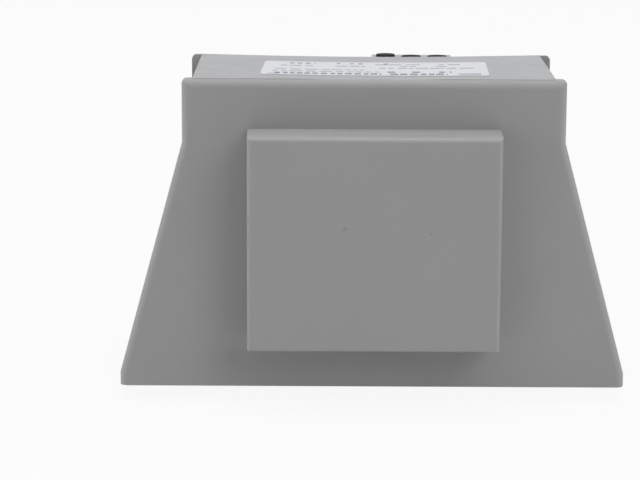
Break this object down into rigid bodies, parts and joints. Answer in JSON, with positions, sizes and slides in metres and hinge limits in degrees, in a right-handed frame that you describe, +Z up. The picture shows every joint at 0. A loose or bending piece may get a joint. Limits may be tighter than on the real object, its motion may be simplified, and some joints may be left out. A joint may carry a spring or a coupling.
{
  "type": "encapsulated circuit-board transformer",
  "caption": "Potted grey transformer with flared webs, boxed coil ends, screw-down feet, rear solder pins and a screw terminal block.",
  "frame": {"origin": "centre of the four foot holes, in the plane of the case's underside that sits on the board", "axes": "+X along the base to the right seen from the front web, +Y from the front web to the rear web with the terminals, +Z up off the board"},
  "size_m": [0.1154, 0.0726, 0.0745],
  "materials": {
    "case_plastic": "satin moulded grey plastic with a faint grain",
    "cover_plastic": "satin moulded grey plastic with a faint grain",
    "core_steel": "annealed silicon steel sheet",
    "bobbin_plastic": "glass-filled nylon",
    "winding_copper": "enamelled copper wire",
    "insulating_tape": "polyester tape",
    "fuse_body": "moulded thermal fuse",
    "primary_lead": "insulated wire",
    "secondary_lead": "insulated wire",
    "strip_plastic": "moulded pin strip",
    "tinned_pin": "tinned wire",
    "resin": "cast grey resin with a slight meniscus",
    "label_film": null,
    "block_plastic": "moulded grey plastic",
    "clamp_steel": "zinc-plated sheet",
    "black_screw": "black-oxide steel",
    "tinned_tail": "tinned wire"
  },
  "bodies": {
    "root": {"housing_body": "case_plastic", "rear_cover": "cover_plastic", "e_laminations": "core_steel", "i_laminations": "core_steel", "bobbin": "bobbin_plastic", "primary_winding": "winding_copper", "secondary_winding": "winding_copper", "primary_tape": "insulating_tape", "secondary_tape": "insulating_tape", "thermal_fuse": "fuse_body", "primary_lead_1": "primary_lead", "primary_lead_2": "primary_lead", "primary_lead_3": "primary_lead", "secondary_lead_1": "secondary_lead", "secondary_lead_2": "secondary_lead", "secondary_lead_3": "secondary_lead", "secondary_lead_4": "secondary_lead", "pin_strip": "strip_plastic", "solder_pin_1": "tinned_pin", "solder_pin_2": "tinned_pin", "solder_pin_3": "tinned_pin", "solder_pin_4": "tinned_pin", "solder_pin_5": "tinned_pin", "solder_pin_6": "tinned_pin", "potting_resin": "resin", "label": "label_film", "terminal_block": "block_plastic", "wire_clamp_1": "clamp_steel", "wire_clamp_2": "clamp_steel", "wire_clamp_3": "clamp_steel", "clamp_screw_1": "black_screw", "clamp_screw_2": "black_screw", "clamp_screw_3": "black_screw", "terminal_tail_1": "tinned_tail", "terminal_tail_2": "tinned_tail", "terminal_tail_3": "tinned_tail"}
  },
  "joints": []
}
